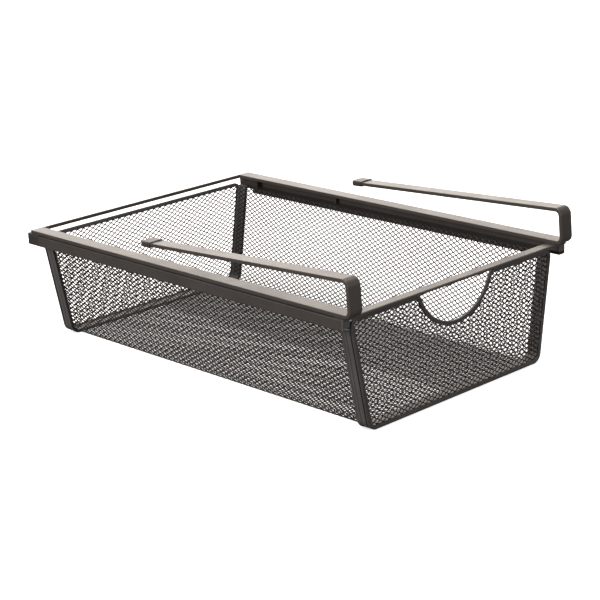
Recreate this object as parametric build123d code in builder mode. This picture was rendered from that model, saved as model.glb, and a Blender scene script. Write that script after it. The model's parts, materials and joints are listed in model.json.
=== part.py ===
"""Sliding mesh drawer that hangs from a shelf board.

A fixed carrier of two bent flat bars, two cross bars and two channel rails grips the
board. A mesh basket with framed end panels slides forward in the rails.

+X is right as seen from the front, +Y points to the back and +Z points up. The origin
is on the basket's underside, in the middle of the whole outline. Sizes are in mm.
"""

from build123d import *
from math import cos, radians, sin
import os

os.makedirs("parts", exist_ok=True)

# --- Carrier: flat bars ---------------------------------------------------------------
carrier_length = 360.0      # bars, front face to rear end
carrier_width = 235.0       # over both bars
bar_width = 12.0
bar_thickness = 2.8
bend_inner_radius = 3.2
bar_edge_radius = 0.45
arm_rise = 25.6             # shelf's underside to the top of the arm
arm_reach = 207.0           # front face to the cap's shoulder, measured along the arm
arm_lean = radians(2.9)     # the arm leans back, so its tip presses on the board

# --- Carrier: arm caps ------------------------------------------------------------------
cap_length = 12.0
cap_grip = 8.5              # length of bar inside the cap
cap_side_wall = 0.7
cap_flat_wall = 0.8
cap_corner_radius = 4.2
cap_edge_radius = 1.2

# --- Carrier: cross bars --------------------------------------------------------------
front_bar_depth = 8.2
front_bar_sheet = 0.7       # also the daylight between the flat bars and the rails
front_bar_lip = 1.9         # folded front edge, top to bottom
front_bar_fold_radius = 0.3
front_bar_setback = 0.2     # behind the point where the flat bars' undersides turn flat
rear_bar_thickness = 1.6
rear_bar_edge_radius = 0.3

# --- Carrier: rails, glides and end caps ----------------------------------------------
rail_width = 6.4
rail_height = 8.9
rail_wall = 0.9
lip_clearance = 0.6         # front cross bar's lip to the glide's head
rail_corner_radius = 1.1
rail_groove = 0.3           # half height and depth of the line along the rail
rail_groove_drop = 2.0
weld_pad_width = 4.6
weld_pad_length = 5.0
rear_pad_inset = 12.0       # rail's rear end to the last pad's middle
middle_pad_spacing = 33.0   # between the two pads either side of the bars' middle
end_cap_length = 14.5
end_cap_overhang = 4.5      # past the bars' rear ends
end_cap_spigot = 8.0
end_cap_groove = 0.4
end_cap_groove_count = 4
glide_head = 1.5
glide_plug = 12.0

# --- Drawer: basket outline -----------------------------------------------------------
rim_drop = 6.6              # shelf's underside to the basket's rim
basket_height = 85.7
side_clearance = 4.1        # between the basket's rim and each rail
wall_inset = 15.0           # how far each side wall leans in from rim to floor
panel_setback = 11.3        # bars' front face to the front frame's face
panel_overhang = 1.0        # rear frame's face past the bars' rear ends
corner_radius = 8.0
rim_corner_radius = 6.0
notch_radius = 38.5
notch_rise = 10.5           # notch's centre above the rim
shoulder_inner_radius = 2.8 # inside the frame, where the notch meets the rim

# --- Drawer: mesh, frames, bindings and runners -----------------------------------------
mesh_thickness = 0.8
frame_width = 3.2
frame_depth = 1.6
frame_edge_radius = 0.35
edge_lip = 1.0              # metal past the mesh's cut edge
binding_width = 9.4
binding_thickness = 2.4
binding_web = 0.7           # metal between the shadow line and the trough's cut edge
shadow_line = 1.1           # groove between a frame and its binding
shadow_depth = 1.3
trough_drop = 2.0           # rim to the top edge of the side walls
runner_thickness = 0.9
runner_leaf = 2.4           # leaf on the wall, below the flange
runner_end_gap = 0.3
stop_tab_clearance = 1.3    # stop tab's top to the rail's top wall
stop_tab_width = 3.2
stop_tab_thickness = 1.2

# --- Fits and travel --------------------------------------------------------------------
slide_gap = 0.3             # between the drawer and each fixed face beside it
drawer_travel = 225.0

# --- Derived places ---------------------------------------------------------------------
rim_z = basket_height
shelf_z = rim_z + rim_drop
front_y = -(carrier_length + end_cap_overhang) / 2
rear_y = front_y + carrier_length
bar_outer_x = carrier_width / 2
bar_inner_x = bar_outer_x - bar_width

bar_underside_z = shelf_z - bar_thickness
front_bar_front_y = front_y + bend_inner_radius + bar_thickness + front_bar_setback
rail_top_z = bar_underside_z - front_bar_sheet
rail_bottom_z = rail_top_z - rail_height
rail_front_y = front_bar_front_y + front_bar_sheet + lip_clearance + glide_head
end_cap_rear_y = rear_y + end_cap_overhang
rail_rear_y = end_cap_rear_y - end_cap_length

panel_front_y = front_y + panel_setback
panel_rear_y = rear_y + panel_overhang
trough_top_z = rim_z - trough_drop
rim_width = carrier_width - 2 * rail_width - 2 * side_clearance
wall_slope = wall_inset / basket_height
notch_shoulder_radius = frame_width + shoulder_inner_radius

flange_bottom_z = rail_bottom_z + rail_wall + slide_gap
flange_top_z = flange_bottom_z + runner_thickness
flange_outer_x = bar_outer_x - rail_wall - slide_gap
bars_middle_y = (front_y + rear_y) / 2
weld_pad_places = (
    bars_middle_y - middle_pad_spacing / 2,
    bars_middle_y + middle_pad_spacing / 2,
    rail_rear_y - rear_pad_inset,
)

runner_front_y = panel_front_y + frame_depth + binding_width + runner_end_gap
runner_rear_y = rail_rear_y - end_cap_spigot - runner_end_gap
glide_rear_y = rail_front_y + glide_plug
stop_tab_y = glide_rear_y + drawer_travel + slide_gap
stop_tab_top_z = rail_top_z - rail_wall - stop_tab_clearance


def cross_section(y):
    """Plane across the object at depth y, seen from the front, +Z up."""
    return Plane.XZ.offset(-y)


def wall_x(z, inset=0.0):
    """Half width of the basket at height z, inset square to its sloping wall."""
    return rim_width / 2 - wall_slope * (rim_z - z) - inset * (1 + wall_slope**2) ** 0.5


def basket_section(inset, top_z):
    """Basket's outline across its length, inset all round and cut off at top_z."""
    bottom_z = inset
    with BuildSketch() as section:
        with BuildLine():
            Polyline(
                (-wall_x(top_z, inset), top_z),
                (-wall_x(bottom_z, inset), bottom_z),
                (wall_x(bottom_z, inset), bottom_z),
                (wall_x(top_z, inset), top_z),
                close=True,
            )
        make_face()
        fillet(section.vertices().group_by(Axis.Y)[0], corner_radius - inset)
    return section.sketch


def panel_outline(inset, notched):
    """Outline of an end panel, inset all round, with or without the finger notch."""
    with BuildSketch() as outline:
        add(basket_section(inset, rim_z - inset))
        fillet(outline.vertices().group_by(Axis.Y)[-1], rim_corner_radius - inset)
        if notched:
            with Locations((0, rim_z + notch_rise)):
                Circle(notch_radius + inset, mode=Mode.SUBTRACT)
            shoulders = outline.vertices().group_by(Axis.Y)[-1].sort_by(Axis.X)[1:3]
            fillet(shoulders, notch_shoulder_radius - inset)
    return outline.sketch


# --- Flat bars: each runs along the shelf, up its front edge and back over its top -------
up_y, up_z = sin(arm_lean), cos(arm_lean)
back_y, back_z = cos(arm_lean), -sin(arm_lean)
leg_y = front_y + back_y * bar_thickness / 2
leg_z = shelf_z + back_z * bar_thickness / 2
arm_middle = arm_rise - bar_thickness / 2
heel_run = (bar_thickness / 2 - (shelf_z - leg_z)) / up_z

heel = (leg_y - up_y * heel_run, shelf_z - bar_thickness / 2)
elbow = (leg_y + up_y * arm_middle, leg_z + up_z * arm_middle)
arm_run = arm_reach + cap_grip - bar_thickness / 2
tip = (elbow[0] + back_y * arm_run, elbow[1] + back_z * arm_run)

with BuildPart() as right_arm:
    with BuildSketch(Plane.YZ.offset(bar_inner_x)):
        with BuildLine():
            FilletPolyline(
                (rear_y, heel[1]), heel, elbow, tip, radius=bend_inner_radius + bar_thickness / 2
            )
        trace(line_width=bar_thickness)
    extrude(amount=bar_width)
    fillet(right_arm.faces().sort_by(Axis.X)[0].edges(), bar_edge_radius)
    fillet(right_arm.faces().sort_by(Axis.X)[-1].edges(), bar_edge_radius)
right_arm.part.label = "right_arm"
export_step(right_arm.part, "parts/right_arm.step")

with BuildPart() as left_arm:
    mirror(right_arm.part, about=Plane.YZ)
left_arm.part.label = "left_arm"
export_step(left_arm.part, "parts/left_arm.step")


# --- Arm caps: moulded sleeves pushed over the arms' tips --------------------------------
grip_end = Vector(bar_outer_x - bar_width / 2, tip[0], tip[1])
along_arm = Vector(0, back_y, back_z)
shoulder = grip_end - along_arm * cap_grip

with BuildPart() as right_arm_cap:
    with BuildSketch(Plane(origin=shoulder, x_dir=(1, 0, 0), z_dir=along_arm)):
        Rectangle(bar_width + 2 * cap_side_wall, bar_thickness + 2 * cap_flat_wall)
    extrude(amount=cap_length)
    cap_end = right_arm_cap.faces().sort_by(Axis.Y)[-1]
    fillet(cap_end.edges().sort_by(Axis.X)[0], cap_corner_radius)
    fillet(right_arm_cap.faces().sort_by(Axis.Y)[-1].edges().sort_by(Axis.X)[-1], cap_corner_radius)
    cap_side_y = shoulder.Y + cap_length / 4
    fillet(
        right_arm_cap.edges().filter_by(lambda edge: edge.center().Y > cap_side_y), cap_edge_radius
    )
    with BuildSketch(Plane(origin=shoulder, x_dir=(1, 0, 0), z_dir=along_arm)):
        Rectangle(bar_width, bar_thickness)
    extrude(amount=cap_grip, mode=Mode.SUBTRACT)
right_arm_cap.part.label = "right_arm_cap"
export_step(right_arm_cap.part, "parts/right_arm_cap.step")

with BuildPart() as left_arm_cap:
    mirror(right_arm_cap.part, about=Plane.YZ)
left_arm_cap.part.label = "left_arm_cap"
export_step(left_arm_cap.part, "parts/left_arm_cap.step")


# --- Cross bars: a folded strip under both flat bars at the front, a strip on edge behind --
with BuildPart() as front_crossbar:
    with BuildSketch(Plane.YZ.offset(-bar_outer_x)):
        with BuildLine():
            FilletPolyline(
                (front_bar_front_y + front_bar_sheet / 2, bar_underside_z - front_bar_lip),
                (front_bar_front_y + front_bar_sheet / 2, bar_underside_z - front_bar_sheet / 2),
                (front_bar_front_y + front_bar_depth, bar_underside_z - front_bar_sheet / 2),
                radius=front_bar_fold_radius + front_bar_sheet / 2,
            )
        trace(line_width=front_bar_sheet)
    extrude(amount=carrier_width)
front_crossbar.part.label = "front_crossbar"
export_step(front_crossbar.part, "parts/front_crossbar.step")

with BuildPart() as rear_crossbar:
    with BuildSketch(cross_section(rear_y)):
        with Locations((0, shelf_z - bar_thickness / 2)):
            Rectangle(2 * bar_inner_x, bar_thickness)
    extrude(amount=rear_bar_thickness)
    fillet(rear_crossbar.edges().filter_by(Axis.X), rear_bar_edge_radius)
rear_crossbar.part.label = "rear_crossbar"
export_step(rear_crossbar.part, "parts/rear_crossbar.step")


# --- Rails: channels open towards the basket, on weld pads under the bars -----------------
with BuildPart() as right_rail:
    with BuildSketch(cross_section(rail_rear_y)) as channel:
        with Locations((bar_outer_x, rail_top_z)):
            Rectangle(rail_width, rail_height, align=(Align.MAX, Align.MAX))
        fillet(channel.vertices().group_by(Axis.X)[-1], rail_corner_radius)
        with Locations((bar_outer_x - rail_wall, rail_top_z - rail_wall)):
            Rectangle(
                rail_width, rail_height - 2 * rail_wall,
                align=(Align.MAX, Align.MAX), mode=Mode.SUBTRACT,
            )
        with Locations((bar_outer_x, rail_top_z - rail_groove_drop)):
            RegularPolygon(rail_groove, 4, mode=Mode.SUBTRACT)
    extrude(amount=rail_rear_y - rail_front_y)
    for pad_y in weld_pad_places:
        with Locations((bar_outer_x - rail_corner_radius, pad_y, rail_top_z)):
            Box(
                weld_pad_width, weld_pad_length, front_bar_sheet,
                align=(Align.MAX, Align.CENTER, Align.MIN),
            )
right_rail.part.label = "right_rail"
export_step(right_rail.part, "parts/right_rail.step")

with BuildPart() as left_rail:
    mirror(right_rail.part, about=Plane.YZ)
left_rail.part.label = "left_rail"
export_step(left_rail.part, "parts/left_rail.step")


# --- Glides: plugs in the rails' front ends, slotted for the runner's flange --------------
slot_top_z = flange_top_z + slide_gap
plug_top_z = rail_top_z - rail_wall

with BuildPart() as right_glide:
    with BuildSketch(cross_section(rail_front_y)) as head:
        with Locations((bar_outer_x, rail_top_z)):
            Rectangle(rail_width, rail_height, align=(Align.MAX, Align.MAX))
        fillet(head.vertices().group_by(Axis.X)[-1], rail_corner_radius)
        with Locations((bar_outer_x - rail_wall, slot_top_z)):
            Rectangle(
                rail_width, slot_top_z - flange_bottom_z + slide_gap,
                align=(Align.MAX, Align.MAX), mode=Mode.SUBTRACT,
            )
    extrude(amount=glide_head)
    with BuildSketch(cross_section(glide_rear_y)):
        with Locations((bar_outer_x - rail_wall, plug_top_z)):
            Rectangle(
                rail_width - rail_wall, plug_top_z - slot_top_z, align=(Align.MAX, Align.MAX)
            )
    extrude(amount=glide_plug)
right_glide.part.label = "right_glide"
export_step(right_glide.part, "parts/right_glide.step")

with BuildPart() as left_glide:
    mirror(right_glide.part, about=Plane.YZ)
left_glide.part.label = "left_glide"
export_step(left_glide.part, "parts/left_glide.step")


# --- Rail end caps: stop the drawer at the back -------------------------------------------
cap_groove_pitch = end_cap_length / (end_cap_groove_count + 1)

with BuildPart() as right_rail_cap:
    with BuildSketch(cross_section(end_cap_rear_y)) as block:
        with Locations((bar_outer_x, bar_underside_z)):
            Rectangle(
                rail_width, bar_underside_z - rail_bottom_z, align=(Align.MAX, Align.MAX)
            )
        fillet(block.vertices().group_by(Axis.X)[-1], rail_corner_radius)
    extrude(amount=end_cap_length)
    with BuildSketch(cross_section(rail_rear_y)):
        with Locations((bar_outer_x - rail_wall, plug_top_z)):
            Rectangle(
                rail_width - rail_wall, rail_height - 2 * rail_wall, align=(Align.MAX, Align.MAX)
            )
    extrude(amount=end_cap_spigot)
    for number in range(1, end_cap_groove_count + 1):
        groove_y = rail_rear_y + number * cap_groove_pitch
        with Locations((bar_outer_x, groove_y, rail_bottom_z + rail_height / 2)):
            Box(
                2 * end_cap_groove, end_cap_groove, rail_height - 3 * rail_corner_radius,
                mode=Mode.SUBTRACT,
            )
right_rail_cap.part.label = "right_rail_cap"
export_step(right_rail_cap.part, "parts/right_rail_cap.step")

with BuildPart() as left_rail_cap:
    mirror(right_rail_cap.part, about=Plane.YZ)
left_rail_cap.part.label = "left_rail_cap"
export_step(left_rail_cap.part, "parts/left_rail_cap.step")


# --- Mesh sheets: a folded trough and two flat end panels ---------------------------------
frame_back_y = panel_front_y + frame_depth
frame_fore_y = panel_rear_y - frame_depth
panel_mesh_inset = (frame_depth - mesh_thickness) / 2
mesh_inset = (binding_thickness - mesh_thickness) / 2
trough_lip = shadow_line + binding_web

with BuildPart() as mesh_trough:
    with BuildSketch(cross_section(frame_fore_y - trough_lip)):
        add(basket_section(mesh_inset, trough_top_z))
        add(basket_section(mesh_inset + mesh_thickness, trough_top_z), mode=Mode.SUBTRACT)
    extrude(amount=frame_fore_y - frame_back_y - 2 * trough_lip)
mesh_trough.part.label = "mesh_trough"
export_step(mesh_trough.part, "parts/mesh_trough.step")

with BuildPart() as front_mesh:
    with BuildSketch(cross_section(frame_back_y - panel_mesh_inset)):
        add(panel_outline(edge_lip, notched=True))
    extrude(amount=mesh_thickness)
front_mesh.part.label = "front_mesh"
export_step(front_mesh.part, "parts/front_mesh.step")

with BuildPart() as rear_mesh:
    with BuildSketch(cross_section(panel_rear_y - panel_mesh_inset)):
        add(panel_outline(edge_lip, notched=False))
    extrude(amount=mesh_thickness)
rear_mesh.part.label = "rear_mesh"
export_step(rear_mesh.part, "parts/rear_mesh.step")


# --- End frames: folded round the panels' edges ------------------------------------------
with BuildPart() as front_frame:
    with BuildSketch(cross_section(frame_back_y)):
        add(panel_outline(0, notched=True))
        add(panel_outline(frame_width, notched=True), mode=Mode.SUBTRACT)
    extrude(amount=frame_depth)
    fillet(front_frame.faces().sort_by(Axis.Y)[0].edges(), frame_edge_radius)
    add(front_mesh.part, mode=Mode.SUBTRACT)
front_frame.part.label = "front_frame"
export_step(front_frame.part, "parts/front_frame.step")

with BuildPart() as rear_frame:
    with BuildSketch(cross_section(panel_rear_y)):
        add(panel_outline(0, notched=False))
        add(panel_outline(frame_width, notched=False), mode=Mode.SUBTRACT)
    extrude(amount=frame_depth)
    fillet(rear_frame.faces().sort_by(Axis.Y)[-1].edges(), frame_edge_radius)
    add(rear_mesh.part, mode=Mode.SUBTRACT)
rear_frame.part.label = "rear_frame"
export_step(rear_frame.part, "parts/rear_frame.step")


# --- Bindings: U-shaped strips folded round the trough's two ends -------------------------
with BuildPart() as front_binding:
    with BuildSketch(cross_section(frame_back_y + binding_width)):
        add(basket_section(0, trough_top_z))
        add(basket_section(binding_thickness, trough_top_z), mode=Mode.SUBTRACT)
    extrude(amount=binding_width)
    with BuildSketch(cross_section(frame_back_y + shadow_line)):
        add(basket_section(0, trough_top_z))
        add(basket_section(shadow_depth, trough_top_z), mode=Mode.SUBTRACT)
    extrude(amount=shadow_line, mode=Mode.SUBTRACT)
    add(mesh_trough.part, mode=Mode.SUBTRACT)
front_binding.part.label = "front_binding"
export_step(front_binding.part, "parts/front_binding.step")

with BuildPart() as rear_binding:
    with BuildSketch(cross_section(frame_fore_y)):
        add(basket_section(0, trough_top_z))
        add(basket_section(binding_thickness, trough_top_z), mode=Mode.SUBTRACT)
    extrude(amount=binding_width)
    with BuildSketch(cross_section(frame_fore_y)):
        add(basket_section(0, trough_top_z))
        add(basket_section(shadow_depth, trough_top_z), mode=Mode.SUBTRACT)
    extrude(amount=shadow_line, mode=Mode.SUBTRACT)
    add(mesh_trough.part, mode=Mode.SUBTRACT)
rear_binding.part.label = "rear_binding"
export_step(rear_binding.part, "parts/rear_binding.step")


# --- Runners: bent strips on the trough's top edges, with a stop tab turned up ------------
leaf_bottom_z = flange_bottom_z - runner_leaf
leaf_inset = mesh_inset - runner_thickness

with BuildPart() as right_runner:
    with BuildSketch(cross_section(runner_rear_y)):
        with BuildLine():
            Polyline(
                (wall_x(leaf_bottom_z, mesh_inset), leaf_bottom_z),
                (wall_x(leaf_bottom_z, leaf_inset), leaf_bottom_z),
                (wall_x(flange_bottom_z, leaf_inset), flange_bottom_z),
                (flange_outer_x, flange_bottom_z),
                (flange_outer_x, flange_top_z),
                (wall_x(flange_top_z, mesh_inset), flange_top_z),
                close=True,
            )
        make_face()
    extrude(amount=runner_rear_y - runner_front_y)
    with Locations((flange_outer_x, stop_tab_y, flange_bottom_z)):
        Box(
            stop_tab_width, stop_tab_thickness, stop_tab_top_z - flange_bottom_z,
            align=(Align.MAX, Align.MIN, Align.MIN),
        )
right_runner.part.label = "right_runner"
export_step(right_runner.part, "parts/right_runner.step")

with BuildPart() as left_runner:
    mirror(right_runner.part, about=Plane.YZ)
left_runner.part.label = "left_runner"
export_step(left_runner.part, "parts/left_runner.step")
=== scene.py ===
"""Visual model of an under-shelf mesh drawer, built around its CAD frame."""

import json
import math

import bmesh
import bpy
from mathutils import Matrix, Vector
from mathutils.bvhtree import BVHTree

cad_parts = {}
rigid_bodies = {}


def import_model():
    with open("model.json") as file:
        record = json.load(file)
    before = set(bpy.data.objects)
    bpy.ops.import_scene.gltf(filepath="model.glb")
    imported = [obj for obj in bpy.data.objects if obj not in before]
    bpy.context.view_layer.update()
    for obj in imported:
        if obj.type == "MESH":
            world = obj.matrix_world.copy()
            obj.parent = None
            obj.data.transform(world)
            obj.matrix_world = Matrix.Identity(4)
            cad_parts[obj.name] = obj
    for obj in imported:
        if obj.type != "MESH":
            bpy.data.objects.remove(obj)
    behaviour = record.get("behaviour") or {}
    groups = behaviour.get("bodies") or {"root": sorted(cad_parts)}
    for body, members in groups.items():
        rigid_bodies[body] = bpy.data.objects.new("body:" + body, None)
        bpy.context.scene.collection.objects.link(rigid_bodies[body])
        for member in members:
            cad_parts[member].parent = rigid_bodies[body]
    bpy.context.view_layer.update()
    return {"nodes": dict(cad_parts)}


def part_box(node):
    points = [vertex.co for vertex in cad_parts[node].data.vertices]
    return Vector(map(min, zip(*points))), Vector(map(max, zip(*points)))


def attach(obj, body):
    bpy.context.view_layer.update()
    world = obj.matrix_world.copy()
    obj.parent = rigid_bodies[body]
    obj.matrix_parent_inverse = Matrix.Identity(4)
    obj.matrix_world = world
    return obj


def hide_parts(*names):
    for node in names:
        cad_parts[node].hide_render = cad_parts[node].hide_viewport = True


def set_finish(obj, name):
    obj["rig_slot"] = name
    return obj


bl_info = {
    "name": "Under-shelf mesh drawer",
    "version": (1, 0, 0),
    "blender": (4, 5, 0),
    "location": "View3D > Sidebar > Drawer",
    "description": "Builds the mesh, bindings, finishes and studio of a hanging drawer",
    "category": "Object",
}

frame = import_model()

MM = 0.001
WARM = (1.0, 0.93, 0.86)
CARRIER_NODES = (
    "right_arm", "left_arm", "front_crossbar", "rear_crossbar",
    "right_rail", "left_rail", "right_runner", "left_runner",
)
FRAME_NODES = ("front_frame", "rear_frame")
BINDING_NODES = ("front_binding", "rear_binding")
CAP_NODES = ("right_arm_cap", "left_arm_cap", "right_rail_cap", "left_rail_cap")
GLIDE_NODES = ("right_glide", "left_glide")
MESH_NODES = ("mesh_trough", "front_mesh", "rear_mesh")

# The end sheets' diamonds, height over length.
END_PITCH_RATIO = 0.6
# Spare diamonds on each side of a flat sheet, cut off again.
SPARE_DIAMONDS = 2
# How far the folded wall's top may end from the CAD trough's top.
FOLD_TOLERANCE = 1.5 * MM
# Start of a ray in front of the CAD sheet it looks for.
RAY_START = 10 * MM
# Closer points than this are the same point of a CAD node's triangles.
JOIN_DISTANCE = 0.004 * MM
# Faces that turn less than this belong to one flat or one smooth curve.
FLAT_TURN = math.radians(0.6)
FACE_TOLERANCE = 0.05 * MM
# A binding's outer faces: how far their normals lean along the drawer, up and outward.
MOST_ALONG = 0.1
MOST_UPWARD = 0.5
LEAST_OUTWARD = 0.05
FEWEST_BAND_FACES = 6
# A frame's outer face looks straight ahead, so its normal is nearly one.
LEAST_AHEAD = 0.99
BEAD_SEGMENTS = 3
SHARP_TURN = 50.0
SMOOTH_TURN = 40.0

# Finishes: noise scale in cycles over a metre, and depth of the relief.
BAR_GRAIN = (1400.0, 0.012 * MM)
FRAME_GRAIN = (1700.0, 0.008 * MM)
STRAND_GRAIN = (2200.0, 0.006 * MM)
PLASTIC_GRAIN = (2600.0, 0.01 * MM)
CLOUD_SCALE = 38.0
CLOUD_RANGE = (0.3, 0.7)
GLOSS_SPREAD = 0.06
DARKER = 0.9
LIGHTER = 1.1
SPECK_FINENESS = 2.7
SPECK_RANGE = (0.62, 0.78)
DUST_RANGE = (0.35, 0.7)
DUST_SHARE = 0.35
DUST_TONE = 1.9
DUST_DULLNESS = 0.08
ENAMEL_IOR = 1.5
WARM_GLOSS = (1.0, 0.915, 0.84, 1.0)

# Stage, in metres and degrees.
WHITE = (1.0, 1.0, 1.0, 1.0)
FLOOR_SIZE = 40.0
FLOOR_Z = -0.4 * MM
FLOOR_SEEN = (0.93, 0.93, 0.93, 1.0)
FLOOR_GLOW = 0.55
FLOOR_BOUNCED = (0.08, 0.08, 0.08, 1.0)
LIGHT_AIM = (0.0, 0.0, 0.05)
LENS_MM = 109.97
SENSOR_MM = 36.0
CAMERA_PLACE = (-0.92467, -1.00458, 0.47249)
CAMERA_HEADING = -42.84
CAMERA_DIP = 17.64
CAMERA_ROLL = -2.91


# --- Sizes and colours ----------------------------------------------------------------


def length(name, description, default):
    """A length in metres that a user can change."""
    return bpy.props.FloatProperty(
        name=name, description=description, default=default,
        min=0.0, precision=5, subtype="DISTANCE", unit="LENGTH",
    )


def colour(name, description, default):
    """A linear colour that a user can change."""
    return bpy.props.FloatVectorProperty(
        name=name, description=description, default=default,
        size=3, min=0.0, max=1.0, subtype="COLOR",
    )


class MeshSizes(bpy.types.PropertyGroup):
    """Sizes of the expanded steel mesh"""

    columns: bpy.props.IntProperty(
        name="Diamonds along the drawer", description="Whole diamonds from end to end",
        default=55, min=4,
    )
    rows: bpy.props.IntProperty(
        name="Diamonds round the trough", description="Whole diamonds from rim to rim, even",
        default=92, min=4,
    )
    knuckle_half_length: length("Knuckle half length", "Half a knuckle, the long way", 0.85 * MM)
    knuckle_half_height: length("Knuckle half height", "Half a knuckle, the short way", 0.32 * MM)
    twist: length("Strand twist", "How far a knuckle's edges stand off the sheet", 0.14 * MM)
    strand_thickness: length("Strand thickness", "Thickness of the strands", 0.5 * MM)
    sheet_inset: length("Sheet inset", "Middle of the sheet inside the basket's outline", 1.2 * MM)
    corner_radius: length("Corner radius", "Outside radius of the trough's corners", 8.0 * MM)
    wall_inset: length("Wall inset", "How far a wall leans in from rim to floor", 15.0 * MM)
    hidden_margin: length("Hidden margin", "Mesh ends this far inside a frame's edge", 0.7 * MM)
    corner_folds: bpy.props.IntProperty(
        name="Folds in a corner", description="Straight steps that make a corner",
        default=9, min=3,
    )


class BindingSizes(bpy.types.PropertyGroup):
    """Sizes of the raised bands on the trough's bindings"""

    line_place: length("Line place", "Frame side of the binding to the line round it", 5.0 * MM)
    line_width: length("Line width", "Width of the line round the binding", 0.5 * MM)
    line_depth: length("Line depth", "Depth of the line round the binding", 0.35 * MM)
    bead_width: length("Bead width", "Width of the bead beside the mesh", 1.3 * MM)
    bead_height: length("Bead height", "How far the bead stands out", 0.3 * MM)


class FrameSizes(bpy.types.PropertyGroup):
    """Sizes of the rounded bead along the end frames' outer faces"""

    shoulder: length("Shoulder", "Frame's edge to the bead", 0.75 * MM)
    bead_height: length("Bead height", "How far the bead stands out", 0.5 * MM)
    bead_rounding: length("Bead rounding", "Radius along the bead's edges", 0.4 * MM)


class Finishes(bpy.types.PropertyGroup):
    """Colours and gloss of the finishes"""

    graphite: colour("Graphite enamel", "Carrier bars, rails and runners", (0.050, 0.043, 0.039))
    # Frame tone: the frames' dark enamel, made darker as painted shade between the crossbar and
    # the rim.
    frame_shaded_grey: colour("Frame enamel", "End frames and their beads", (0.060, 0.057, 0.056))
    binding_grey: colour("Binding enamel", "Bindings and their bands", (0.088, 0.083, 0.082))
    # Mesh tone: the strands' own dark enamel, made darker still as painted shade in the strands.
    mesh_shaded_grey: colour("Mesh enamel", "Expanded mesh", (0.011, 0.010, 0.010))
    cap_brown: colour("Cap plastic", "Arm caps and rail caps", (0.034, 0.029, 0.026))
    glide_grey: colour("Glide plastic", "Glides in the rails' front ends", (0.075, 0.077, 0.077))
    enamel_roughness: bpy.props.FloatProperty(
        name="Enamel roughness", description="Roughness of the baked enamel",
        default=0.36, min=0.05, max=1.0, subtype="FACTOR",
    )
    plastic_roughness: bpy.props.FloatProperty(
        name="Plastic roughness", description="Roughness of the plastic parts",
        default=0.42, min=0.05, max=1.0, subtype="FACTOR",
    )


class StageSettings(bpy.types.PropertyGroup):
    """Studio light and camera"""

    overhead_power: bpy.props.FloatProperty(
        name="Overhead light", description="Power of the softbox above",
        default=34.0, min=0.0, unit="POWER",
    )
    backdrop_power: bpy.props.FloatProperty(
        name="Back light", description="Power of the panel behind",
        default=35.0, min=0.0, unit="POWER",
    )
    fill_power: bpy.props.FloatProperty(
        name="Side light", description="Power of the panel on the camera's left",
        default=36.0, min=0.0, unit="POWER",
    )
    front_power: bpy.props.FloatProperty(
        name="Front light", description="Power of the panel in front",
        default=17.0, min=0.0, unit="POWER",
    )
    ambient: bpy.props.FloatProperty(
        name="Ambient light", description="Strength of the light from all round",
        default=0.16, min=0.0,
    )


# --- Modelling helpers ----------------------------------------------------------------


def deselect_all():
    if bpy.context.object and bpy.context.object.mode != "OBJECT":
        bpy.ops.object.mode_set(mode="OBJECT")
    bpy.ops.object.select_all(action="DESELECT")


def make_active(obj):
    deselect_all()
    obj.select_set(True)
    bpy.context.view_layer.objects.active = obj


def choose_points(obj, test):
    """Selects the points that pass a test of their place, in edit mode."""
    bpy.ops.mesh.select_mode(type="VERT")
    bm = bmesh.from_edit_mesh(obj.data)
    for v in bm.verts:
        v.select = bool(test(v.co))
    bm.select_flush_mode()
    bmesh.update_edit_mesh(obj.data)


def choose_faces(obj, test):
    """Selects the faces that pass a test of middle and normal, and counts them."""
    bpy.ops.mesh.select_mode(type="FACE")
    bm = bmesh.from_edit_mesh(obj.data)
    found = 0
    for f in bm.faces:
        f.select = bool(test(f.calc_center_median(), f.normal))
        found += f.select
    bm.select_flush_mode()
    bmesh.update_edit_mesh(obj.data)
    return found


def cut_off(place, outward):
    """Cuts the mesh in edit mode by a plane and clears what lies outside it."""
    bpy.ops.mesh.select_all(action="SELECT")
    bpy.ops.mesh.bisect(plane_co=place, plane_no=outward, clear_outer=True)


def repeat(obj, count, step):
    """Repeats a mesh in a row with an applied Array modifier."""
    row = obj.modifiers.new("row", "ARRAY")
    row.count = count
    row.use_relative_offset = False
    row.use_constant_offset = True
    row.constant_offset_displace = step
    bpy.ops.object.modifier_apply(modifier=row.name)


def thicken(obj, thickness):
    wall = obj.modifiers.new("wall", "SOLIDIFY")
    wall.thickness = thickness
    wall.offset = 0.0
    make_active(obj)
    bpy.ops.object.modifier_apply(modifier=wall.name)


def copy_piece(obj, name):
    """A copy with its own mesh, left selected and active."""
    make_active(obj)
    bpy.ops.object.duplicate(linked=False)
    twin = bpy.context.object
    twin.name = name
    twin.data.name = name
    return twin


def settle(obj, name, body, slot, *nodes):
    """Names a finished piece and ties it to the frame."""
    obj.name = name
    obj.data.name = name
    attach(obj, body)
    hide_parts(*nodes)
    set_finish(obj, slot)


# --- Expanded mesh --------------------------------------------------------------------


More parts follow.
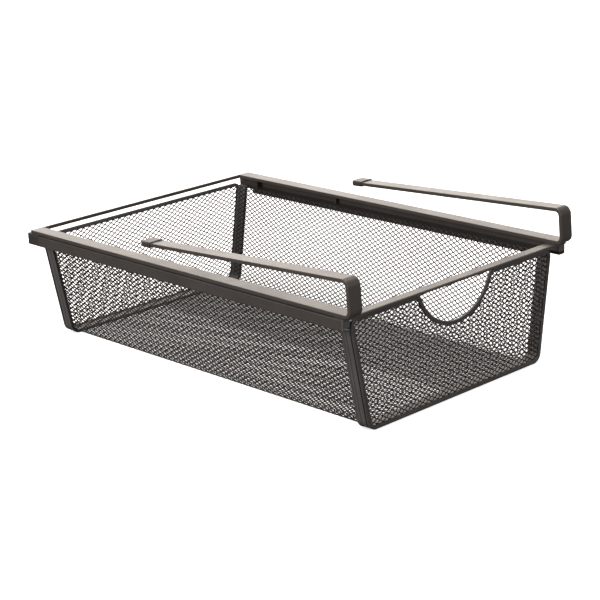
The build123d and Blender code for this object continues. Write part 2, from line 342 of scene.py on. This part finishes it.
def expanded_sheet(name, sizes, long_pitch, short_pitch, columns, rows):
    """A flat diamond mesh about the origin: long way along X, short way along Y."""
    half_length = sizes.knuckle_half_length
    half_height = sizes.knuckle_half_height
    twist = sizes.twist
    deselect_all()
    bpy.ops.mesh.primitive_circle_add(vertices=4, radius=half_length, fill_type="NGON")
    sheet = bpy.context.object
    sheet.name = name
    bpy.ops.object.mode_set(mode="EDIT")
    bpy.ops.mesh.select_all(action="SELECT")
    bpy.ops.transform.resize(value=(1.0, half_height / half_length, 1.0))
    choose_points(sheet, lambda p: p.y > half_height / 2)
    bpy.ops.transform.translate(value=(0.0, 0.0, twist))
    choose_points(sheet, lambda p: p.y < -half_height / 2)
    bpy.ops.transform.translate(value=(0.0, 0.0, -twist))
    reach = long_pitch / 2 - half_length
    rise = short_pitch / 2 - half_height
    slack = half_height / 100
    for side in (1.0, -1.0):
        def on_side(p, side=side):
            near = abs(p.x) < half_length + slack and abs(p.y) < half_height + slack
            return near and side * p.x > -slack and p.y > -slack
        choose_points(sheet, on_side)
        bpy.ops.mesh.extrude_edges_move(
            TRANSFORM_OT_translate={"value": (side * reach, rise, -twist)}
        )
    bpy.ops.mesh.select_all(action="SELECT")
    bpy.ops.mesh.duplicate_move(
        TRANSFORM_OT_translate={"value": (long_pitch / 2, short_pitch / 2, 0.0)}
    )
    bpy.ops.object.mode_set(mode="OBJECT")
    make_active(sheet)
    repeat(sheet, columns + 2 * SPARE_DIAMONDS + 1, (long_pitch, 0.0, 0.0))
    repeat(sheet, rows + 2 * SPARE_DIAMONDS, (0.0, short_pitch, 0.0))
    bpy.ops.object.mode_set(mode="EDIT")
    bpy.ops.mesh.select_all(action="SELECT")
    bpy.ops.mesh.remove_doubles(threshold=half_height / 20)
    bpy.ops.transform.translate(value=(
        -(SPARE_DIAMONDS + columns / 2) * long_pitch,
        -(SPARE_DIAMONDS + rows / 2) * short_pitch,
        0.0,
    ))
    half_x = columns * long_pitch / 2
    half_y = rows * short_pitch / 2
    cut_off((half_x, 0.0, 0.0), (1.0, 0.0, 0.0))
    cut_off((-half_x, 0.0, 0.0), (-1.0, 0.0, 0.0))
    cut_off((0.0, half_y, 0.0), (0.0, 1.0, 0.0))
    cut_off((0.0, -half_y, 0.0), (0.0, -1.0, 0.0))
    bpy.ops.object.mode_set(mode="OBJECT")
    return sheet


class DRAWER_OT_trough_mesh(bpy.types.Operator):
    """Folds a flat expanded mesh into the trough's right and left halves"""

    bl_idname = "drawer.trough_mesh"
    bl_label = "Trough mesh"

    def execute(self, context):
        sizes = context.scene.drawer_mesh
        low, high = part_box("mesh_trough")
        rim_low, rim_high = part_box("front_frame")
        lean = math.atan(sizes.wall_inset / (rim_high.z - rim_low.z))
        floor_z = sizes.sheet_inset
        fold_radius = sizes.corner_radius - sizes.sheet_inset
        turn = math.pi / 2 - lean
        tangent = fold_radius * math.tan(turn / 2)
        corner_x = (
            rim_high.x
            - sizes.sheet_inset / math.cos(lean)
            - (rim_high.z - floor_z) * math.tan(lean)
        )
        floor_half = corner_x - tangent
        arc = fold_radius * turn
        wall = (high.z - floor_z) / math.cos(lean) - tangent
        girth = 2 * (floor_half + arc + wall)
        long_pitch = (high.y - low.y) / sizes.columns
        short_pitch = girth / sizes.rows

        half = expanded_sheet(
            "trough_half", sizes, long_pitch, short_pitch, sizes.columns, sizes.rows
        )
        bpy.ops.object.mode_set(mode="EDIT")
        bpy.ops.mesh.select_all(action="SELECT")
        bpy.ops.transform.rotate(
            value=math.pi / 2, orient_axis="Z", center_override=(0.0, 0.0, 0.0)
        )
        middle_y = (low.y + high.y) / 2
        bpy.ops.transform.translate(value=(0.0, middle_y, floor_z))
        cut_off((0.0, 0.0, 0.0), (-1.0, 0.0, 0.0))
        step = arc / sizes.corner_folds
        for fold in reversed(range(sizes.corner_folds)):
            line = floor_half + (fold + 0.5) * step
            choose_points(half, lambda p: p.x > line)
            bpy.ops.transform.rotate(
                value=turn / sizes.corner_folds, orient_axis="Y",
                center_override=(line, middle_y, floor_z),
            )
        bpy.ops.object.mode_set(mode="OBJECT")
        other = copy_piece(half, "other_half")
        bpy.ops.object.mode_set(mode="EDIT")
        bpy.ops.mesh.select_all(action="SELECT")
        bpy.ops.transform.rotate(
            value=math.pi, orient_axis="Z", center_override=(0.0, middle_y, 0.0)
        )
        bpy.ops.object.mode_set(mode="OBJECT")
        thicken(half, sizes.strand_thickness)
        thicken(other, sizes.strand_thickness)
        if abs(max(v.co.z for v in half.data.vertices) - high.z) > FOLD_TOLERANCE:
            raise RuntimeError("the folded wall doesn't reach the trough's top edge")
        settle(half, "trough_mesh_right", "drawer", "mesh_steel", "mesh_trough")
        settle(other, "trough_mesh_left", "drawer", "mesh_steel", "mesh_trough")
        return {"FINISHED"}


class DRAWER_OT_end_meshes(bpy.types.Operator):
    """Stands expanded mesh in the front and rear frames, cut to the frames' outline"""

    bl_idname = "drawer.end_meshes"
    bl_label = "End meshes"

    def execute(self, context):
        sizes = context.scene.drawer_mesh
        trough_low, trough_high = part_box("mesh_trough")
        long_pitch = (trough_high.y - trough_low.y) / sizes.columns
        short_pitch = long_pitch * END_PITCH_RATIO
        for node in ("front_mesh", "rear_mesh"):
            low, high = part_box(node)
            columns = 2 * math.ceil((high.x - low.x) / long_pitch / 2)
            rows = 2 * math.ceil((high.z - low.z) / short_pitch / 2)
            panel = expanded_sheet(
                node + "_panel", sizes, long_pitch, short_pitch, columns, rows
            )
            bpy.ops.object.mode_set(mode="EDIT")
            bpy.ops.mesh.select_all(action="SELECT")
            bpy.ops.transform.rotate(
                value=math.pi / 2, orient_axis="X", center_override=(0.0, 0.0, 0.0)
            )
            bpy.ops.transform.translate(value=(
                0.0, (low.y + high.y) / 2, (low.z + high.z) / 2,
            ))
            shapes = [
                BVHTree.FromObject(frame["nodes"][part], context.evaluated_depsgraph_get())
                for part in (node, node.replace("mesh", "frame"))
            ]
            ahead = Vector((0.0, 1.0, 0.0))
            margin = sizes.hidden_margin
            corners = ((margin, 0.0), (-margin, 0.0), (0.0, margin), (0.0, -margin))

            def covered(x, z, start_y=low.y - RAY_START):
                start = Vector((x, start_y, z))
                return any(shape.ray_cast(start, ahead)[0] is not None for shape in shapes)

            choose_points(
                panel, lambda p: not all(covered(p.x + dx, p.z + dz) for dx, dz in corners)
            )
            bpy.ops.mesh.delete(type="VERT")
            bpy.ops.object.mode_set(mode="OBJECT")
            thicken(panel, sizes.strand_thickness)
            settle(panel, node + "_panel", "drawer", "mesh_steel", node)
        return {"FINISHED"}


# --- Bindings and frames --------------------------------------------------------------


def merged_copy(node, name):
    """A copy of a CAD node with its loose triangles joined and its flats made whole."""
    twin = copy_piece(frame["nodes"][node], name)
    for key in list(twin.keys()):
        del twin[key]
    twin.parent = None
    bpy.ops.object.mode_set(mode="EDIT")
    bpy.ops.mesh.select_all(action="SELECT")
    bpy.ops.mesh.remove_doubles(threshold=JOIN_DISTANCE)
    bpy.ops.mesh.dissolve_limited(angle_limit=FLAT_TURN)
    return twin


class DRAWER_OT_bindings(bpy.types.Operator):
    """Raises a bead beside the mesh and presses a line round each binding"""

    bl_idname = "drawer.bindings"
    bl_label = "Bindings"

    def execute(self, context):
        sizes = context.scene.drawer_binding
        for node in BINDING_NODES:
            low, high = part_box(node)
            at_front = node.startswith("front")
            toward_mesh = 1.0 if at_front else -1.0
            frame_side = low.y if at_front else high.y
            mesh_side = high.y if at_front else low.y
            binding = merged_copy(node, node + "_strip")

            def place(distance):
                return frame_side + toward_mesh * distance

            line = (place(sizes.line_place), place(sizes.line_place + sizes.line_width))
            bead = (mesh_side - toward_mesh * sizes.bead_width, mesh_side)
            for y in (*line, bead[0]):
                bpy.ops.mesh.select_all(action="SELECT")
                bpy.ops.mesh.bisect(plane_co=(0.0, y, 0.0), plane_no=(0.0, 1.0, 0.0))
            rim_z = high.z - FACE_TOLERANCE

            def outer_band(ends):
                inner, outer = sorted(ends)

                def test(middle, normal):
                    sideways = Vector((middle.x, 0.0, middle.z - rim_z)).normalized()
                    return (
                        inner < middle.y < outer
                        and abs(normal.y) < MOST_ALONG
                        and normal.z < MOST_UPWARD
                        and normal.dot(sideways) > LEAST_OUTWARD
                        and middle.z < rim_z
                    )
                return test

            for ends, shift in ((line, -sizes.line_depth), (bead, sizes.bead_height)):
                if choose_faces(binding, outer_band(ends)) < FEWEST_BAND_FACES:
                    raise RuntimeError(f"{node} has no outer face for its band")
                bpy.ops.mesh.extrude_region_shrink_fatten(
                    TRANSFORM_OT_shrink_fatten={"value": shift}
                )
            bpy.ops.object.mode_set(mode="OBJECT")
            settle(binding, node + "_strip", "drawer", "frame_steel", node)
        return {"FINISHED"}


def round_edges(obj, width):
    """Rounds every edge sharper than SHARP_TURN with an applied Bevel modifier."""
    make_active(obj)
    rounding = obj.modifiers.new("rounding", "BEVEL")
    rounding.width = width
    rounding.segments = BEAD_SEGMENTS
    rounding.limit_method = "ANGLE"
    rounding.angle_limit = math.radians(SHARP_TURN)
    bpy.ops.object.modifier_apply(modifier=rounding.name)


class DRAWER_OT_frames(bpy.types.Operator):
    """Raises a rounded bead along the outer face of both end frames"""

    bl_idname = "drawer.frames"
    bl_label = "End frames"

    def execute(self, context):
        sizes = context.scene.drawer_frame
        for node in FRAME_NODES:
            low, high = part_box(node)
            outward = -1.0 if node.startswith("front") else 1.0
            face_y = low.y if outward < 0 else high.y
            body = merged_copy(node, node + "_bead")

            def outer_face(middle, normal):
                return normal.y * outward > LEAST_AHEAD and abs(middle.y - face_y) < FACE_TOLERANCE

            if not choose_faces(body, outer_face):
                raise RuntimeError(f"{node} has no outer face for its bead")
            bpy.ops.mesh.inset(thickness=sizes.shoulder)
            bpy.ops.mesh.extrude_region_shrink_fatten(
                TRANSFORM_OT_shrink_fatten={"value": sizes.bead_height}
            )
            bpy.ops.object.mode_set(mode="OBJECT")
            round_edges(body, sizes.bead_rounding)
            bpy.ops.object.shade_smooth_by_angle(angle=math.radians(SMOOTH_TURN))
            settle(body, node + "_bead", "drawer", "frame_steel", node)
        return {"FINISHED"}


# --- Finishes -------------------------------------------------------------------------


class Val:
    """A shader value: arithmetic on it adds Math nodes."""

    def __init__(self, shader, socket):
        self.shader = shader
        self.socket = socket

    def math(self, operation, first, second):
        return self.shader.node(
            "ShaderNodeMath", {"operation": operation}, {0: first, 1: second}
        )

    def __add__(self, other):
        return self.math("ADD", self, other)

    __radd__ = __add__

    def __mul__(self, other):
        return self.math("MULTIPLY", self, other)

    def clamped(self, low, high):
        """This value taken from low..high to 0..1, held at both ends."""
        return self.shader.node(
            "ShaderNodeMapRange", {"clamp": True},
            {"Value": self, "From Min": low, "From Max": high, "To Min": 0.0, "To Max": 1.0},
        )


class Shader:
    """A new material or world whose nodes are added by one method."""

    def __init__(self, owner):
        owner.use_nodes = True
        self.tree = owner.node_tree
        self.tree.nodes.clear()

    def node(self, kind, settings=None, inputs=None, output=0):
        made = self.tree.nodes.new(kind)
        for name, value in (settings or {}).items():
            setattr(made, name, value)
        for name, value in (inputs or {}).items():
            socket = made.inputs[name]
            if isinstance(value, Val):
                self.tree.links.new(value.socket, socket)
            else:
                socket.default_value = value
        return Val(self, made.outputs[output]) if made.outputs else None

    def mix(self, share, first, second):
        """A colour between two colours."""
        mixed = self.tree.nodes.new("ShaderNodeMix")
        mixed.data_type = "RGBA"
        self.tree.links.new(share.socket, mixed.inputs["Factor"])
        for place, value in ((6, first), (7, second)):
            if isinstance(value, Val):
                self.tree.links.new(value.socket, mixed.inputs[place])
            else:
                mixed.inputs[place].default_value = (*value, 1.0)
        return Val(self, mixed.outputs[2])


def scaled(tone, factor):
    """A colour made lighter or darker by a factor."""
    return tuple(min(1.0, part * factor) for part in tone)


def enamel(name, tone, roughness, grain):
    """Enamel or plastic: fine relief, a faint change of tone and gloss, and settled dust."""
    grain_scale, grain_depth = grain
    material = bpy.data.materials.new(name)
    shader = Shader(material)
    place = shader.node("ShaderNodeTexCoord", output="Object")
    peel = shader.node(
        "ShaderNodeTexNoise", {"noise_dimensions": "3D"},
        {"Vector": place, "Scale": grain_scale, "Detail": 2.0, "Roughness": 0.5},
    )
    clouds = shader.node(
        "ShaderNodeTexNoise", {"noise_dimensions": "3D"},
        {"Vector": place, "Scale": CLOUD_SCALE, "Detail": 3.0, "Roughness": 0.6},
    )
    specks = shader.node(
        "ShaderNodeTexNoise", {"noise_dimensions": "3D"},
        {
            "Vector": place, "Scale": grain_scale * SPECK_FINENESS,
            "Detail": 1.0, "Roughness": 0.4,
        },
    )
    dusty = specks.clamped(*SPECK_RANGE) * clouds.clamped(*DUST_RANGE)
    body_tone = shader.mix(
        clouds.clamped(*CLOUD_RANGE), scaled(tone, DARKER), scaled(tone, LIGHTER)
    )
    dusted = shader.mix(dusty * DUST_SHARE, body_tone, scaled(tone, DUST_TONE))
    bump = shader.node(
        "ShaderNodeBump", {}, {"Strength": 1.0, "Distance": grain_depth, "Height": peel}
    )
    gloss = roughness - GLOSS_SPREAD / 2 + clouds.clamped(*CLOUD_RANGE) * GLOSS_SPREAD
    surface = shader.node(
        "ShaderNodeBsdfPrincipled", {},
        {
            "Base Color": dusted, "Roughness": gloss + dusty * DUST_DULLNESS,
            "Metallic": 0.0, "IOR": ENAMEL_IOR, "Specular Tint": WARM_GLOSS, "Normal": bump,
        },
    )
    shader.node("ShaderNodeOutputMaterial", {}, {"Surface": surface})
    return material


def paint(obj, material):
    obj.data.materials.clear()
    obj.data.materials.append(material)


class DRAWER_OT_finishes(bpy.types.Operator):
    """Gives every piece and CAD node its enamel or plastic"""

    bl_idname = "drawer.finishes"
    bl_label = "Finishes"

    def execute(self, context):
        tones = context.scene.drawer_finishes
        rough = tones.enamel_roughness
        graphite = enamel("graphite_enamel", tones.graphite, rough, BAR_GRAIN)
        # The frames' enamel is darkened as painted shade between the crossbar and the rim.
        shaded_framing = enamel("frame_shaded_enamel", tones.frame_shaded_grey, rough, FRAME_GRAIN)
        binding = enamel("binding_enamel", tones.binding_grey, rough, FRAME_GRAIN)
        # The mesh's enamel is partly its own dark tone and partly painted shade.
        shaded_meshing = enamel("mesh_shaded_enamel", tones.mesh_shaded_grey, rough, STRAND_GRAIN)
        gloss = tones.plastic_roughness
        caps = enamel("cap_plastic", tones.cap_brown, gloss, PLASTIC_GRAIN)
        glides = enamel("glide_plastic", tones.glide_grey, gloss, PLASTIC_GRAIN)
        for names, material in (
            (CARRIER_NODES, graphite), (FRAME_NODES, shaded_framing), (BINDING_NODES, binding),
            (CAP_NODES, caps), (GLIDE_NODES, glides), (MESH_NODES, shaded_meshing),
        ):
            for name in names:
                paint(frame["nodes"][name], material)
        for obj in context.scene.objects:
            if obj.get("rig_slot") == "mesh_steel":
                paint(obj, shaded_meshing)
            if obj.name.endswith("_frame_bead"):
                paint(obj, shaded_framing)
            if obj.name.endswith("_binding_strip"):
                paint(obj, binding)
        return {"FINISHED"}


# --- Stage ----------------------------------------------------------------------------


def soft_panel(name, power, size, place, tint=(1.0, 1.0, 1.0)):
    """A rectangular area light that points at the drawer and isn't seen by the camera."""
    light = bpy.data.lights.new(name, "AREA")
    light.shape = "RECTANGLE"
    light.size, light.size_y = size
    light.energy = power
    light.color = tint
    lamp = bpy.data.objects.new(name, light)
    bpy.context.scene.collection.objects.link(lamp)
    lamp.location = place
    lamp.rotation_mode = "QUATERNION"
    lamp.rotation_quaternion = (Vector(LIGHT_AIM) - Vector(place)).to_track_quat("-Z", "Y")
    lamp.visible_camera = False


class DRAWER_OT_stage(bpy.types.Operator):
    """Lays the pale floor and sets the studio lights and the camera"""

    bl_idname = "drawer.stage"
    bl_label = "Stage"

    def execute(self, context):
        settings = context.scene.drawer_stage
        scene = context.scene
        deselect_all()
        bpy.ops.mesh.primitive_plane_add(size=FLOOR_SIZE, location=(0.0, 0.0, FLOOR_Z))
        floor = context.object
        floor.name = "floor"
        material = bpy.data.materials.new("pale_floor")
        shader = Shader(material)
        path = shader.node("ShaderNodeLightPath", output="Is Camera Ray")
        matt = shader.node("ShaderNodeBsdfDiffuse", {}, {"Color": FLOOR_SEEN})
        glow = shader.node("ShaderNodeEmission", {}, {"Color": WHITE, "Strength": FLOOR_GLOW})
        seen = shader.node("ShaderNodeAddShader", {}, {0: matt, 1: glow})
        bounced = shader.node("ShaderNodeBsdfDiffuse", {}, {"Color": FLOOR_BOUNCED})
        both = shader.node("ShaderNodeMixShader", {}, {0: path, 1: bounced, 2: seen})
        shader.node("ShaderNodeOutputMaterial", {}, {"Surface": both})
        paint(floor, material)

        world = bpy.data.worlds.new("studio")
        scene.world = world
        sky = Shader(world)
        glow = sky.node(
            "ShaderNodeBackground", {}, {"Color": WHITE, "Strength": settings.ambient}
        )
        sky.node("ShaderNodeOutputWorld", {}, {"Surface": glow})

        soft_panel("overhead_softbox", settings.overhead_power, (1.8, 1.8), (0.1, 0.1, 1.5), WARM)
        soft_panel("back_panel", settings.backdrop_power, (3.8, 0.9), (1.1, 1.65, 0.62), WARM)
        soft_panel("side_panel", settings.fill_power, (1.6, 1.2), (-1.9, 0.2, 0.75))
        soft_panel("front_panel", settings.front_power, (1.6, 1.0), (0.1, -2.0, 0.7))

        lens = bpy.data.cameras.new("studio_camera")
        lens.lens = LENS_MM
        lens.sensor_width = SENSOR_MM
        lens.clip_start = 0.02
        lens.clip_end = 100.0
        camera = bpy.data.objects.new("studio_camera", lens)
        scene.collection.objects.link(camera)
        turn = (
            Matrix.Rotation(math.radians(CAMERA_HEADING), 4, "Z")
            @ Matrix.Rotation(math.radians(90.0 - CAMERA_DIP), 4, "X")
            @ Matrix.Rotation(math.radians(CAMERA_ROLL), 4, "Z")
        )
        camera.matrix_world = Matrix.Translation(CAMERA_PLACE) @ turn
        scene.camera = camera
        scene.view_settings.view_transform = "Standard"
        return {"FINISHED"}


# --- Sidebar panel and registration -----------------------------------------------------


class DRAWER_PT_builder(bpy.types.Panel):
    """Lists the builders and their sizes"""

    bl_idname = "DRAWER_PT_builder"
    bl_label = "Mesh drawer"
    bl_space_type = "VIEW_3D"
    bl_region_type = "UI"
    bl_category = "Drawer"

    def draw(self, context):
        layout = self.layout
        for group in GROUPS:
            values = getattr(context.scene, group)
            box = layout.box()
            for name in values.__annotations__:
                box.prop(values, name)
        for operator in OPERATORS:
            layout.operator(operator.bl_idname)


GROUPS = {
    "drawer_mesh": MeshSizes,
    "drawer_binding": BindingSizes,
    "drawer_frame": FrameSizes,
    "drawer_finishes": Finishes,
    "drawer_stage": StageSettings,
}
OPERATORS = (
    DRAWER_OT_trough_mesh,
    DRAWER_OT_end_meshes,
    DRAWER_OT_bindings,
    DRAWER_OT_frames,
    DRAWER_OT_finishes,
    DRAWER_OT_stage,
)


def register():
    for name, group in GROUPS.items():
        bpy.utils.register_class(group)
        setattr(bpy.types.Scene, name, bpy.props.PointerProperty(type=group))
    for operator in OPERATORS:
        bpy.utils.register_class(operator)
    bpy.utils.register_class(DRAWER_PT_builder)


def unregister():
    bpy.utils.unregister_class(DRAWER_PT_builder)
    for operator in reversed(OPERATORS):
        bpy.utils.unregister_class(operator)
    for name, group in GROUPS.items():
        delattr(bpy.types.Scene, name)
        bpy.utils.unregister_class(group)


def main():
    register()
    bpy.ops.drawer.trough_mesh()
    bpy.ops.drawer.end_meshes()
    bpy.ops.drawer.bindings()
    bpy.ops.drawer.frames()
    bpy.ops.drawer.finishes()
    bpy.ops.drawer.stage()
    bpy.context.view_layer.update()


if __name__ == "__main__":
    main()
